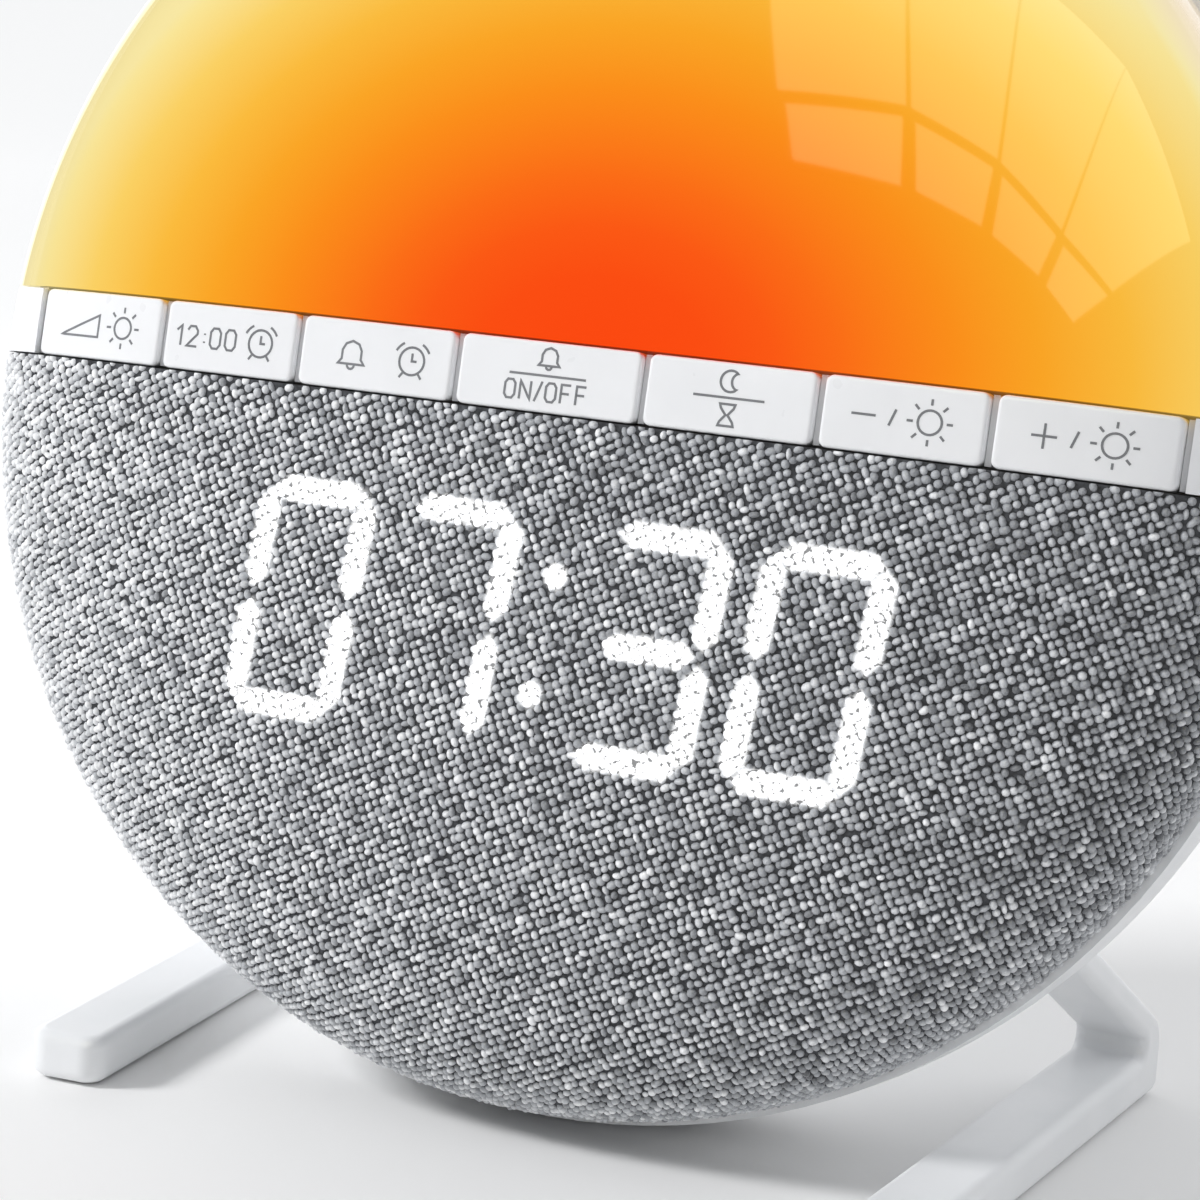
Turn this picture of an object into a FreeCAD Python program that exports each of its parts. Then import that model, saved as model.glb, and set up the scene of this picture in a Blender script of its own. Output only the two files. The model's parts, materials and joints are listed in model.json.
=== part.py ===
import FreeCAD, Part
import math
import os

# Round sunrise alarm clock on two hook feet, millimetres.
# The clock is drawn upright with its face towards -Y, then leant back and lifted off the floor.

# Face: a dome whose depth falls from the middle to the rim
face_radius = 90.0
face_depth = 25.8
face_flatness = 3.2
face_shoulder = 3.1
flat_middle = 2.0
lens_wall = 2.0
fabric_inset = 0.3
fabric_thickness = 1.0
grille_wall = 2.0

# Key strip across the face
strip_bottom = -0.6
strip_height = 8.8
strip_seam = 0.25
end_cap_width = 11.4
key_shares = [22.2, 21.0, 22.7, 25.4, 22.7, 21.0, 22.2]
key_names = ["dimmer", "time_set", "alarm_set", "alarm_switch", "sleep_timer", "minus", "plus"]
key_gap = 1.0
key_thickness = 2.6
key_travel = 0.8
stem_width = 5.0
stem_height = 4.0
slide_clearance = 0.15

# Key carrier, key board and switches
carrier_clearance = 0.3
carrier_wall = 2.0
carrier_lip = 2.0
shelf_thickness = 1.6
board_thickness = 1.6
key_board_y = -6.0
key_board_margin = 0.2
key_board_end_margin = 0.6
switch_size = 6.0
switch_height = 3.5
plunger_radius = 1.75
plunger_rise = 1.0
plunger_depth = 1.6
plunger_clearance = 0.1

# Rear housing
housing_rim = 1.0
housing_wall = 2.4
rim_straight = 4.0
rear_depth = 34.0
rear_flatness = 5.0
rear_shoulder = 2.5
ledge_width = 5.0
ledge_thickness = 2.4
floor_clearance = 0.6
underside_clearance = 0.35
body_tilt = 10.0

# Display behind the cloth
display_x = 3.8
display_top = -12.3
digit_height = 31.0
digit_width = 17.2
digit_pitch = 20.5
digit_inner = 14.0
digit_slant = 5.5
stroke = 3.3
segment_gap = 0.5
colon_radius = 1.6
colon_share = 0.26
display_front_y = -16.5
display_depth = 7.5
display_margin = 3.0
display_fit = 0.3
display_board_overhang = 6.5
display_post_radius = 3.0
display_screw_grip = 2.0

# Speaker
speaker_x = 0.0
speaker_rim_margin = 8.0
speaker_display_margin = 3.7
speaker_front_y = -9.0
speaker_flange = 1.6
speaker_basket_depth = 10.0
speaker_wall = 1.0
magnet_share = 0.625
magnet_depth = 6.0
gasket_thickness = 0.8
collar_wall = 2.0
sound_slot_share = 0.5
sound_slot_count = 7

# Light behind the lens
reflector_thickness = 1.5
light_margin = 0.4
led_board_margin = 1.0
led_size = 5.0
led_height = 1.6
led_pitch_x = 24.0
led_pitch_z = 20.0
led_first_row = 5.0
led_rows = 4
led_side_columns = 3
diffuser_inset = 10.0
diffuser_wall = 1.2

# Main board in the rear housing
main_board_width = 96.0
main_board_height = 62.0
main_board_y = 18.0
main_board_z = 8.0
post_radius = 3.0
post_inset = 5.0
screw_radius = 1.25
screw_head_radius = 2.5
screw_head_height = 1.8
screw_grip = 6.0
screw_end_gap = 1.0

# Parts on the main board: x and z from the board's middle, then width, height and depth
processor = [-12.0, 6.0, 14.0, 14.0, 1.8]
amplifier = [16.0, 10.0, 10.0, 8.0, 1.8]
memory = [16.0, -8.0, 6.0, 5.0, 1.6]
regulator = [-14.0, -14.0, 8.0, 6.0, 1.6]
light_socket = [0.0, 25.0, 22.0, 5.0, 5.5]
key_socket = [-38.0, 2.0, 6.0, 18.0, 5.5]
capacitor_x = [34.0, 34.0, -28.0]
capacitor_z = [-10.0, 4.0, -18.0]
capacitor_radius = 4.0
capacitor_length = 10.0

# Power inlet and backup cell at the back
inlet_x = 30.0
inlet_z = -44.0
inlet_body_radius = 4.5
inlet_bore_radius = 2.8
inlet_pin_radius = 1.0
inlet_bore_depth = 10.0
inlet_pin_root = 1.0
inlet_pin_setback = 1.0
inlet_length = 14.0
inlet_flange_radius = 6.0
inlet_flange_thickness = 1.2
cell_x = -30.0
cell_z = -44.0
cell_radius = 10.0
cell_thickness = 3.2
cell_clearance = 0.3
cell_cup_wall = 1.6
cell_cover_thickness = 2.0
cell_cover_rim = 3.0
cell_cover_gap = 0.3
coin_slot_width = 1.8
coin_slot_depth = 1.0
vent_count = 6
vent_width = 2.4
vent_length = 34.0
vent_pitch = 6.0
vent_z = 44.0

# Feet: flat bars that turn up at the rear
foot_spread = 0.6033
foot_width = 10.7
foot_thickness = 6.5
foot_splay = 3.9
foot_front_y = -39.0
foot_rear_y = 44.7
foot_notch_y = 42.0
foot_notch_radius = 1.5
foot_heel_radius = 6.0
foot_sole_radius = 2.0
leg_angle = 29.5
leg_thickness = 4.5
leg_reach = 45.0
foot_tip_radius = 3.0
foot_edge_radius = 1.6
pad_length = 16.0
pad_inset = 2.2
pad_thickness = 1.2
pad_recess = 0.9
pad_corner_radius = 2.5
pad_end_offset = 6.0
pad_clearance = 0.1
boss_radius = 4.5
boss_height = 5.0
foot_screw_radius = 1.5
foot_screw_grip = 9.0
foot_screw_head_radius = 3.0
foot_screw_head_height = 2.0

# Screws that hold the housing to the grille frame
housing_screw_inset = 7.5
housing_screw_angles = [195.0, 240.0, 300.0, 345.0]
housing_boss_radius = 4.0
screw_clearance = 0.1

# Two points closer than this are the same when edges are picked for rounding
same_place = 0.01

# Worked out from the sizes above
key_run = 2 * (face_radius - end_cap_width)
key_widths = [key_run * share / sum(key_shares) for share in key_shares]
key_board_width = key_run - 2 * key_board_end_margin
housing_radius = face_radius + housing_rim
housing_screw_ring = housing_radius - housing_screw_inset
display_back_y = display_front_y + display_depth
display_bottom = display_top - digit_height - display_margin
speaker_radius = (face_radius - speaker_rim_margin + display_bottom - speaker_display_margin) / 2
speaker_z = display_bottom - speaker_display_margin - speaker_radius
magnet_radius = magnet_share * speaker_radius
sound_slot_pitch = 2 * speaker_radius / (sound_slot_count + 1)
sound_slot_width = sound_slot_share * sound_slot_pitch
foot_inner_x = foot_spread * housing_radius
strip_top = strip_bottom + strip_height
strip_middle = (strip_bottom + strip_top) / 2
carrier_inset = key_thickness + key_travel + carrier_clearance
grille_inset = fabric_inset + fabric_thickness
lower_edge = strip_bottom - strip_seam
upper_edge = strip_top + strip_seam
carrier_low = strip_bottom - carrier_lip
carrier_high = strip_top + carrier_lip
switch_front_y = key_board_y - switch_height
stem_end_y = switch_front_y - plunger_rise
back_y = rim_straight + rear_depth
far = 3 * face_radius
tilt = math.radians(body_tilt)
body_lift = housing_radius * math.cos(tilt) + floor_clearance
Y_AXIS = FreeCAD.Vector(0, 1, 0)
ORIGIN = FreeCAD.Vector(0, 0, 0)


def box(x0, x1, y0, y1, z0, z1):
    return Part.makeBox(x1 - x0, y1 - y0, z1 - z0, FreeCAD.Vector(x0, y0, z0))


def rod(x, z, y0, y1, radius):
    return Part.makeCylinder(radius, y1 - y0, FreeCAD.Vector(x, y0, z), Y_AXIS)


def slab(z0, z1):
    return box(-far, far, -far, far, z0, z1)


def fuse(shapes):
    whole = shapes[0]
    for shape in shapes[1:]:
        whole = whole.fuse(shape)
    return whole.removeSplitter()


def rounded_profile(radius, depth, flatness, shoulder, start_y, direction, samples=15):
    # The middle of the dome is a small flat disc, and the curve runs from its edge to the rim
    start = math.asin((flat_middle / radius) ** (flatness / 2))
    points = []
    for i in range(samples):
        angle = start + (math.pi / 2 - start) * i / (samples - 1)
        r = radius * math.sin(angle) ** (2 / flatness)
        rise = depth * max(math.cos(angle), 0.0) ** (2 / shoulder)
        points.append(FreeCAD.Vector(r, start_y + direction * rise, 0))
    points[0] = FreeCAD.Vector(flat_middle, start_y + direction * depth, 0)
    points[-1] = FreeCAD.Vector(radius, start_y, 0)
    curve = Part.BSplineCurve()
    curve.interpolate(
        Points=points,
        InitialTangent=FreeCAD.Vector(1, 0, 0),
        FinalTangent=FreeCAD.Vector(0, -direction, 0),
    )
    return curve.toShape()


def turned(edges):
    face = Part.Face(Part.Wire(Part.__sortEdges__(edges)))
    return face.revolve(ORIGIN, Y_AXIS, 360)


def line(x0, y0, x1, y1):
    return Part.makeLine(FreeCAD.Vector(x0, y0, 0), FreeCAD.Vector(x1, y1, 0))


def face_dome(inset):
    radius = face_radius - inset
    depth = face_depth - inset
    curve = rounded_profile(radius, depth, face_flatness, face_shoulder, 0, -1)
    return turned([
        line(0, -depth, flat_middle, -depth), curve, line(radius, 0, 0, 0), line(0, 0, 0, -depth)
    ])


def face_shell(inset, wall):
    radius = face_radius - inset
    depth = face_depth - inset
    outer = rounded_profile(radius, depth, face_flatness, face_shoulder, 0, -1)
    inner = rounded_profile(radius - wall, depth - wall, face_flatness, face_shoulder, 0, -1)
    return turned([
        line(0, -depth, flat_middle, -depth), outer, line(radius, 0, radius - wall, 0),
        inner, line(flat_middle, wall - depth, 0, wall - depth), line(0, wall - depth, 0, -depth),
    ])


def face_depth_at(x, z, inset):
    radius = face_radius - inset
    share = min(math.hypot(x, z) / radius, 1.0)
    return (face_depth - inset) * (1 - share ** face_flatness) ** (1 / face_shoulder)


def rear_dome(inset):
    radius = housing_radius - inset
    depth = rear_depth - inset
    curve = rounded_profile(radius, depth, rear_flatness, rear_shoulder, rim_straight, 1)
    return turned([
        line(0, 0, radius, 0),
        line(radius, 0, radius, rim_straight),
        curve,
        line(flat_middle, rim_straight + depth, 0, rim_straight + depth),
        line(0, rim_straight + depth, 0, 0),
    ])


def rear_depth_at(x, z, inset):
    share = min(math.hypot(x, z) / (housing_radius - inset), 1.0)
    return rim_straight + (rear_depth - inset) * (1 - share ** rear_flatness) ** (1 / rear_shoulder)


def place(shape):
    moved = shape.copy()
    moved.rotate(ORIGIN, FreeCAD.Vector(1, 0, 0), -body_tilt)
    moved.translate(FreeCAD.Vector(0, 0, body_lift))
    return moved


def unplace(shape):
    moved = shape.copy()
    moved.translate(FreeCAD.Vector(0, 0, -body_lift))
    moved.rotate(ORIGIN, FreeCAD.Vector(1, 0, 0), body_tilt)
    return moved


# Keys and their switches

def key_spans():
    spans = []
    start = -sum(key_widths) / 2
    for name, width in zip(key_names, key_widths):
        spans.append((name, start + key_gap / 2, start + width - key_gap / 2))
        start += width
    return spans


def key_centres():
    return [(x0 + x1) / 2 for _, x0, x1 in key_spans()]


def make_keys():
    strip = face_shell(0, key_thickness)
    inner = face_dome(key_thickness / 2)
    keys = {}
    for name, x0, x1 in key_spans():
        centre = (x0 + x1) / 2
        stem = box(
            centre - stem_width / 2, centre + stem_width / 2, -face_depth, stem_end_y,
            strip_middle - stem_height / 2, strip_middle + stem_height / 2,
        ).common(inner)
        cap = strip.common(box(x0, x1, -far, far, strip_bottom, strip_top))
        keys[name + "_key"] = fuse([cap, stem])
        keys[name + "_plunger"] = rod(
            centre, strip_middle, stem_end_y, switch_front_y + plunger_depth, plunger_radius
        )
    return keys


def make_end_cap(side):
    strip = face_shell(0, key_thickness)
    reach = sum(key_widths) / 2 + key_gap / 2
    x0, x1 = (reach, far) if side > 0 else (-far, -reach)
    return strip.common(box(x0, x1, -far, far, strip_bottom, strip_top))


def make_carrier():
    body = face_dome(carrier_inset).common(slab(carrier_low, carrier_high))
    pocket = face_dome(carrier_inset + carrier_wall).common(
        slab(carrier_low + shelf_thickness, carrier_high - shelf_thickness)
    )
    body = body.cut(pocket)
    for centre in key_centres():
        half_x = stem_width / 2 + slide_clearance
        half_z = stem_height / 2 + slide_clearance
        slot = box(
            centre - half_x, centre + half_x, -face_depth, key_board_y,
            strip_middle - half_z, strip_middle + half_z,
        )
        body = body.cut(slot)
    return body


def make_key_board():
    low = carrier_low + shelf_thickness + key_board_margin
    high = carrier_high - shelf_thickness - key_board_margin
    return box(
        -key_board_width / 2, key_board_width / 2,
        key_board_y, key_board_y + board_thickness, low, high,
    )


def make_tact_switches():
    switches = []
    for centre in key_centres():
        half = switch_size / 2
        body = box(
            centre - half, centre + half, switch_front_y, key_board_y,
            strip_middle - half, strip_middle + half,
        )
        well_end = switch_front_y + plunger_depth + key_travel + plunger_clearance
        well = rod(centre, strip_middle, switch_front_y, well_end, plunger_radius + plunger_clearance)
        switches.append(body.cut(well))
    return Part.makeCompound(switches)


# Display

def digit_centres():
    inner = [display_x - digit_inner, display_x + digit_inner]
    return [inner[0] - digit_pitch, inner[0], inner[1], inner[1] + digit_pitch]


def slanted(x, z):
    lean = math.tan(math.radians(digit_slant))
    middle = display_top - digit_height / 2
    return x + (z - middle) * lean, z


def bar_outline(x0, z0, x1, z1):
    # A bar between two points whose ends are mitred to fit its neighbours
    half = stroke / 2
    if abs(x1 - x0) > abs(z1 - z0):
        return [(x0, z0), (x0 + half, z0 + half), (x1 - half, z0 + half), (x1, z0),
                (x1 - half, z0 - half), (x0 + half, z0 - half)]
    return [(x0, z0), (x0 + half, z0 - half), (x0 + half, z1 + half), (x0, z1),
            (x0 - half, z1 + half), (x0 - half, z0 - half)]


def digit_bars(centre):
    half = stroke / 2
    left = centre - digit_width / 2 + half
    right = centre + digit_width / 2 - half
    top = display_top - half
    bottom = display_top - digit_height + half
    middle = (top + bottom) / 2
    g = segment_gap
    bars = []
    for z in (top, middle, bottom):
        bars.append(bar_outline(left + g, z, right - g, z))
    for x in (left, right):
        bars.append(bar_outline(x, top - g, x, middle + g))
        bars.append(bar_outline(x, middle - g, x, bottom + g))
    return bars


def prism(outline, y0, y1):
    points = []
    for x, z in outline:
        moved_x, moved_z = slanted(x, z)
        points.append(FreeCAD.Vector(moved_x, y0, moved_z))
    face = Part.Face(Part.makePolygon(points + [points[0]]))
    return face.extrude(FreeCAD.Vector(0, y1 - y0, 0))


def make_segments():
    solids = []
    for centre in digit_centres():
        for outline in digit_bars(centre):
            solids.append(prism(outline, display_front_y, display_back_y))
    return solids


def make_colon_dots():
    dots = []
    for share in (colon_share, 1 - colon_share):
        x, z = slanted(display_x, display_top - digit_height * share)
        dots.append(rod(x, z, display_front_y, display_back_y, colon_radius))
    return dots


def display_span(extra):
    half = digit_inner + digit_pitch + digit_width / 2 + display_margin + extra
    low = display_bottom - extra
    high = display_top + display_margin + extra
    return display_x - half, display_x + half, low, high


def make_display_housing(lights):
    x0, x1, z0, z1 = display_span(0)
    body = box(x0, x1, display_front_y, display_back_y, z0, z1)
    return body.cut(Part.makeCompound(lights))


def make_display_board():
    x0, x1, z0, z1 = display_span(0)
    y0 = display_back_y
    y1 = display_back_y + board_thickness
    board = box(x0 - display_board_overhang, x1 + display_board_overhang, y0, y1, z0, z1)
    for x, z in display_post_places():
        board = board.cut(rod(x, z, y0, y1, screw_radius + screw_clearance))
    return board


def display_post_places():
    x0, x1, z0, z1 = display_span(0)
    reach = display_board_overhang - display_post_radius
    places = []
    for x in (x0 - reach, x1 + reach):
        for z in (z0 + display_post_radius, z1 - display_post_radius):
            places.append((x, z))
    return places


# Cloth face and the grille frame under it

def make_fabric():
    return face_shell(fabric_inset, fabric_thickness).common(slab(-far, lower_edge))


def make_grille():
    frame = face_shell(grille_inset, grille_wall)
    inner = face_dome(grille_inset + grille_wall / 2)
    x0, x1, z0, z1 = display_span(display_fit)
    frame = frame.cut(box(x0, x1, -far, 0, z0, z1))
    for i in range(sound_slot_count):
        offset = (i - (sound_slot_count - 1) / 2) * sound_slot_pitch
        half = math.sqrt(speaker_radius ** 2 - offset ** 2) - collar_wall
        z = speaker_z + offset
        frame = frame.cut(box(
            speaker_x - half, speaker_x + half, -far, 0,
            z - sound_slot_width / 2, z + sound_slot_width / 2,
        ))
    collar_front = -face_depth
    seat = speaker_front_y - gasket_thickness
    collar = rod(speaker_x, speaker_z, collar_front, seat, speaker_radius)
    collar = collar.cut(rod(speaker_x, speaker_z, collar_front, seat, speaker_radius - collar_wall))
    parts = [frame, collar.common(inner)]
    for x, z in display_post_places():
        post = rod(x, z, -face_depth, display_back_y, display_post_radius)
        parts.append(post.common(inner))
    frame = fuse(parts)
    hole_end = display_back_y - display_screw_grip - screw_end_gap
    for x, z in display_post_places():
        frame = frame.cut(rod(x, z, hole_end, display_back_y, screw_radius))
    return frame.common(slab(-far, lower_edge))


# Speaker

def make_speaker():
    y0 = speaker_front_y
    y1 = y0 + speaker_flange
    y2 = y0 + speaker_basket_depth
    outer = speaker_radius
    throat = magnet_radius
    wall = speaker_wall

    def at_speaker(edges):
        shape = turned(edges)
        shape.translate(FreeCAD.Vector(speaker_x, 0, speaker_z))
        return shape

    def closed(points):
        edges = []
        for (ax, ay), (bx, by) in zip(points, points[1:] + points[:1]):
            edges.append(line(ax, ay, bx, by))
        return at_speaker(edges)

    basket = closed([
        (outer - 2 * wall, y0), (outer, y0), (outer, y1), (outer - wall, y1),
        (throat, y2), (throat / 2, y2), (throat / 2, y2 - wall), (throat - wall, y2 - wall),
        (outer - 2 * wall, y1),
    ])
    cone = closed([
        (outer - 2 * wall, y0), (outer - 2 * wall, y0 + wall), (throat / 2, y2 - 2 * wall),
        (0, y2 - 2 * wall), (0, y2 - 3 * wall), (throat / 2, y2 - 3 * wall),
        (outer - 3 * wall, y0),
    ])
    magnet = rod(speaker_x, speaker_z, y2, y2 + magnet_depth, magnet_radius)
    gasket = rod(speaker_x, speaker_z, y0 - gasket_thickness, y0, outer)
    gasket = gasket.cut(rod(speaker_x, speaker_z, y0 - gasket_thickness, y0, outer - collar_wall))
    return basket, cone, magnet, gasket


# Light

def light_region(inset):
    return face_dome(inset).common(slab(carrier_high + light_margin, far))


def led_places():
    places = []
    low = carrier_high + light_margin + led_size
    for row in range(led_rows):
        z = low + led_first_row + row * led_pitch_z
        for column in range(-led_side_columns, led_side_columns + 1):
            x = column * led_pitch_x
            if math.hypot(x, z) < face_radius - diffuser_inset - 2 * led_size:
                places.append((x, z))
    return places


def led_box(x, z, clearance, y0, y1):
    half = led_size / 2 + clearance
    return box(x - half, x + half, y0, y1, z - half, z + half)


def make_light():
    limit = face_radius - lens_wall - light_margin
    reflector = rod(0, 0, -reflector_thickness, 0, limit).common(slab(carrier_high + light_margin, far))
    board_radius = housing_radius - housing_wall - ledge_width - led_board_margin
    board = rod(0, 0, 0, board_thickness, board_radius).common(slab(carrier_high + light_margin, far))
    leds = []
    for x, z in led_places():
        leds.append(led_box(x, z, 0, -led_height, 0))
        reflector = reflector.cut(led_box(x, z, light_margin, -reflector_thickness, 0))
    diffuser = face_shell(diffuser_inset, diffuser_wall)
    diffuser = diffuser.common(slab(carrier_high + light_margin, far))
    diffuser.translate(FreeCAD.Vector(0, -reflector_thickness, 0))
    return reflector, board, Part.makeCompound(leds), diffuser


# Rear housing and what it holds

def main_post_places():
    half_x = main_board_width / 2 - post_inset
    half_z = main_board_height / 2 - post_inset
    return [(sx * half_x, main_board_z + sz * half_z) for sx in (-1, 1) for sz in (-1, 1)]


def housing_screw_places():
    places = []
    for angle in housing_screw_angles:
        turn = math.radians(angle)
        places.append((housing_screw_ring * math.cos(turn), housing_screw_ring * math.sin(turn)))
    return places


def above_floor(margin):
    # The underside is trimmed level so that the shell clears the floor
    keep = box(-far, far, -far, far, underside_clearance + margin, 2 * far)
    return unplace(keep)


def housing_body(inset):
    return rear_dome(inset).common(above_floor(inset))


def recess_y(x, z, thickness):
    return rear_depth_at(x, z, 0) - thickness


def screw_seat_y(x, z):
    return recess_y(x, z, housing_wall + 2 * screw_head_height)


def leg_screw_point(side):
    # Where the middle line of a leg meets the outside of the housing, and the line's direction
    angle = math.radians(leg_angle)
    along = FreeCAD.Vector(0, -math.cos(angle), math.sin(angle))
    across = FreeCAD.Vector(0, math.sin(angle), math.cos(angle)) * (leg_thickness / 2)
    start = FreeCAD.Vector(0, foot_notch_y, foot_thickness) + across
    centre_line = splayed(Part.makeLine(start, start + along * leg_reach), side)
    inside = centre_line.common(place(housing_body(0)))
    ends = sorted(inside.Vertexes, key=lambda vertex: vertex.Z)
    low = ends[0].Point
    high = ends[-1].Point
    direction = (high - low).normalize()
    return low, direction


def splayed(shape, side):
    moved = shape.copy()
    moved.rotate(ORIGIN, FreeCAD.Vector(0, 0, 1), -side * foot_splay)
    moved.translate(FreeCAD.Vector(side * (foot_inner_x + foot_width / 2), 0, 0))
    return moved


def make_housing():
    housing = housing_body(0).cut(housing_body(housing_wall))
    core = housing_body(housing_wall / 2)
    ring_outer = housing_radius - housing_wall / 2
    ring_inner = housing_radius - housing_wall - ledge_width
    ledge = rod(0, 0, 0, ledge_thickness, ring_outer).cut(rod(0, 0, 0, ledge_thickness, ring_inner))
    parts = [housing, ledge.common(above_floor(housing_wall / 2))]
    for x, z in main_post_places():
        parts.append(rod(x, z, main_board_y + board_thickness, back_y, post_radius).common(core))
    for x, z in housing_screw_places():
        parts.append(rod(x, z, 0, back_y, housing_boss_radius).common(core))
    cell_seat = recess_y(cell_x, cell_z, cell_cover_thickness)
    cell_floor = cell_seat - cell_thickness - cell_clearance
    cover_radius = cell_radius + cell_cover_rim + cell_cover_gap
    parts.append(rod(cell_x, cell_z, cell_floor - cell_cup_wall, cell_seat, cover_radius + cell_cup_wall))
    inlet_seat = recess_y(inlet_x, inlet_z, inlet_flange_thickness)
    inlet_recess = inlet_flange_radius + slide_clearance
    parts.append(rod(inlet_x, inlet_z, inlet_seat - housing_wall, inlet_seat, inlet_recess + cell_cup_wall))
    for side in (-1, 1):
        point, direction = leg_screw_point(side)
        boss = Part.makeCylinder(boss_radius, housing_wall + boss_height, point, direction)
        parts.append(unplace(boss).common(core))
    housing = fuse(parts)
    for x, z in main_post_places():
        y0 = main_board_y + board_thickness
        housing = housing.cut(rod(x, z, y0, y0 + screw_grip, screw_radius + screw_clearance))
    for x, z in housing_screw_places():
        housing = housing.cut(rod(x, z, -far, far, screw_radius + screw_clearance))
        housing = housing.cut(rod(x, z, screw_seat_y(x, z), far, screw_head_radius + screw_clearance))
    housing = housing.cut(rod(cell_x, cell_z, cell_floor, far, cell_radius + cell_clearance))
    housing = housing.cut(rod(cell_x, cell_z, cell_seat, far, cover_radius))
    housing = housing.cut(rod(inlet_x, inlet_z, back_y / 2, far, inlet_body_radius + slide_clearance))
    housing = housing.cut(rod(inlet_x, inlet_z, inlet_seat, far, inlet_recess))
    for side in (-1, 1):
        point, direction = leg_screw_point(side)
        hole = Part.makeCylinder(
            foot_screw_radius + screw_clearance, 4 * boss_height, point - direction * boss_height, direction
        )
        housing = housing.cut(unplace(hole))
    for i in range(vent_count):
        z = vent_z + (i - (vent_count - 1) / 2) * vent_pitch
        housing = housing.cut(box(
            -vent_length / 2, vent_length / 2, back_y / 2, far, z - vent_width / 2, z + vent_width / 2
        ))
    return housing


def make_housing_screws():
    screws = []
    for x, z in housing_screw_places():
        seat = screw_seat_y(x, z)
        shaft = rod(x, z, -screw_grip, seat, screw_radius)
        head = rod(x, z, seat, seat + screw_head_height, screw_head_radius)
        screws.append(fuse([shaft, head]))
    return Part.makeCompound(screws)


def make_main_board():
    half_x = main_board_width / 2
    half_z = main_board_height / 2
    y1 = main_board_y + board_thickness
    board = box(-half_x, half_x, main_board_y, y1, main_board_z - half_z, main_board_z + half_z)
    for x, z in main_post_places():
        board = board.cut(rod(x, z, main_board_y, y1, screw_radius + screw_clearance))
    return board


def make_board_screws():
    screws = []
    for x, z in main_post_places():
        tip = main_board_y + board_thickness + screw_grip - screw_end_gap
        shaft = rod(x, z, main_board_y, tip, screw_radius)
        head = rod(x, z, main_board_y - screw_head_height, main_board_y, screw_head_radius)
        screws.append(fuse([shaft, head]))
    for x, z in display_post_places():
        back = display_back_y + board_thickness
        shaft = rod(x, z, display_back_y - display_screw_grip, back, screw_radius)
        head = rod(x, z, back, back + screw_head_height, screw_head_radius)
        screws.append(fuse([shaft, head]))
    return Part.makeCompound(screws)


def make_board_parts():
    chips = []
    for x, z, width, height, depth in (
        processor, amplifier, memory, regulator, light_socket, key_socket
    ):
        level = main_board_z + z
        chips.append(box(
            x - width / 2, x + width / 2, main_board_y - depth, main_board_y,
            level - height / 2, level + height / 2,
        ))
    for x, z in zip(capacitor_x, capacitor_z):
        front = main_board_y - capacitor_length
        chips.append(rod(x, main_board_z + z, front, main_board_y, capacitor_radius))
    return Part.makeCompound(chips)


def make_inlet():
    seat = recess_y(inlet_x, inlet_z, inlet_flange_thickness)
    mouth = seat + inlet_flange_thickness
    body = fuse([
        rod(inlet_x, inlet_z, mouth - inlet_length, seat, inlet_body_radius),
        rod(inlet_x, inlet_z, seat, mouth, inlet_flange_radius),
    ])
    floor = mouth - inlet_bore_depth
    body = body.cut(rod(inlet_x, inlet_z, floor, mouth, inlet_bore_radius))
    pin = rod(inlet_x, inlet_z, floor - inlet_pin_root, mouth - inlet_pin_setback, inlet_pin_radius)
    return body.cut(pin), pin


def make_cell():
    seat = recess_y(cell_x, cell_z, cell_cover_thickness)
    floor = seat - cell_thickness - cell_clearance
    cell = rod(cell_x, cell_z, floor, floor + cell_thickness, cell_radius)
    cover_radius = cell_radius + cell_cover_rim
    y0 = seat + slide_clearance
    y1 = seat + cell_cover_thickness
    cover = rod(cell_x, cell_z, y0, y1, cover_radius)
    slot = box(
        cell_x - cell_radius, cell_x + cell_radius, y1 - coin_slot_depth, far,
        cell_z - coin_slot_width / 2, cell_z + coin_slot_width / 2,
    )
    return cell, cover.cut(slot)


# Feet

def foot_profile():
    angle = math.radians(leg_angle)
    along = FreeCAD.Vector(0, -math.cos(angle), math.sin(angle))
    across = FreeCAD.Vector(0, math.sin(angle), math.cos(angle)) * leg_thickness
    notch = FreeCAD.Vector(0, foot_notch_y, foot_thickness)
    leg_in = notch + along * leg_reach
    leg_out = leg_in + across
    heel_z = leg_out.z - (foot_rear_y - leg_out.y) * math.tan(angle)
    points = [
        FreeCAD.Vector(0, foot_front_y, 0),
        FreeCAD.Vector(0, foot_rear_y, 0),
        FreeCAD.Vector(0, foot_rear_y, heel_z),
        leg_out,
        leg_in,
        notch,
        FreeCAD.Vector(0, foot_front_y, foot_thickness),
    ]
    return Part.Face(Part.makePolygon(points + [points[0]])), heel_z


def edges_across(solid, y, z):
    found = []
    for edge in solid.Edges:
        ends = [vertex.Point for vertex in edge.Vertexes]
        if len(ends) == 2 and all(math.hypot(p.y - y, p.z - z) < same_place for p in ends):
            found.append(edge)
    return found


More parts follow.
